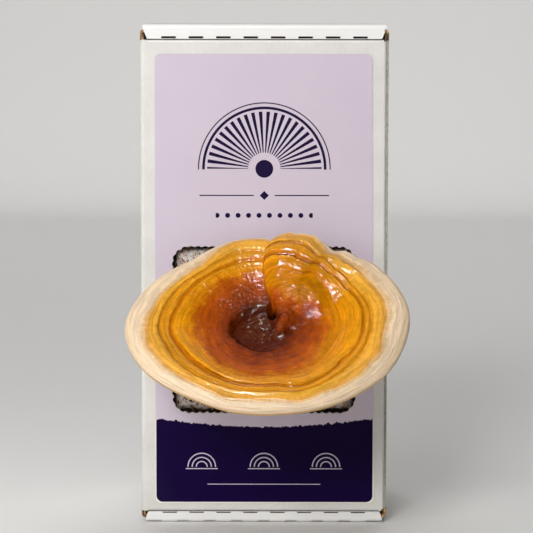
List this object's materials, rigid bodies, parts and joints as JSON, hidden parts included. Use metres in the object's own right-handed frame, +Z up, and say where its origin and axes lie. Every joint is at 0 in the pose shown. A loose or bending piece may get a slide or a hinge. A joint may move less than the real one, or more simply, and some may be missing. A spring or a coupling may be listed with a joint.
{
  "type": "reishi mushroom grow kit",
  "caption": "Corrugated carton on its end with a block of colonised sawdust inside and a round bracket mushroom grown out through a window torn in the lid.",
  "frame": {"origin": "middle of the end face that the carton stands on", "axes": "+Z up along the carton, -Y out of the lid towards the viewer, +X to the viewer's right"},
  "size_m": [0.1437, 0.1995, 0.264],
  "materials": {
    "corrugated_board": "white-lined corrugated board, matt, brown at its cut edges",
    "label_paper": "coated label paper, pale lilac with a dark purple band",
    "colonised_sawdust": "sawdust bound by grey-white mycelium, rough",
    "stalk_skin": "dark red-brown lacquered skin",
    "cap_skin": "lacquered skin, reddish brown in the middle through amber to a cream margin"
  },
  "bodies": {
    "root": {"carton": "corrugated_board", "label": "label_paper", "substrate_block": "colonised_sawdust", "stem": "stalk_skin", "cap": "cap_skin"}
  },
  "joints": []
}
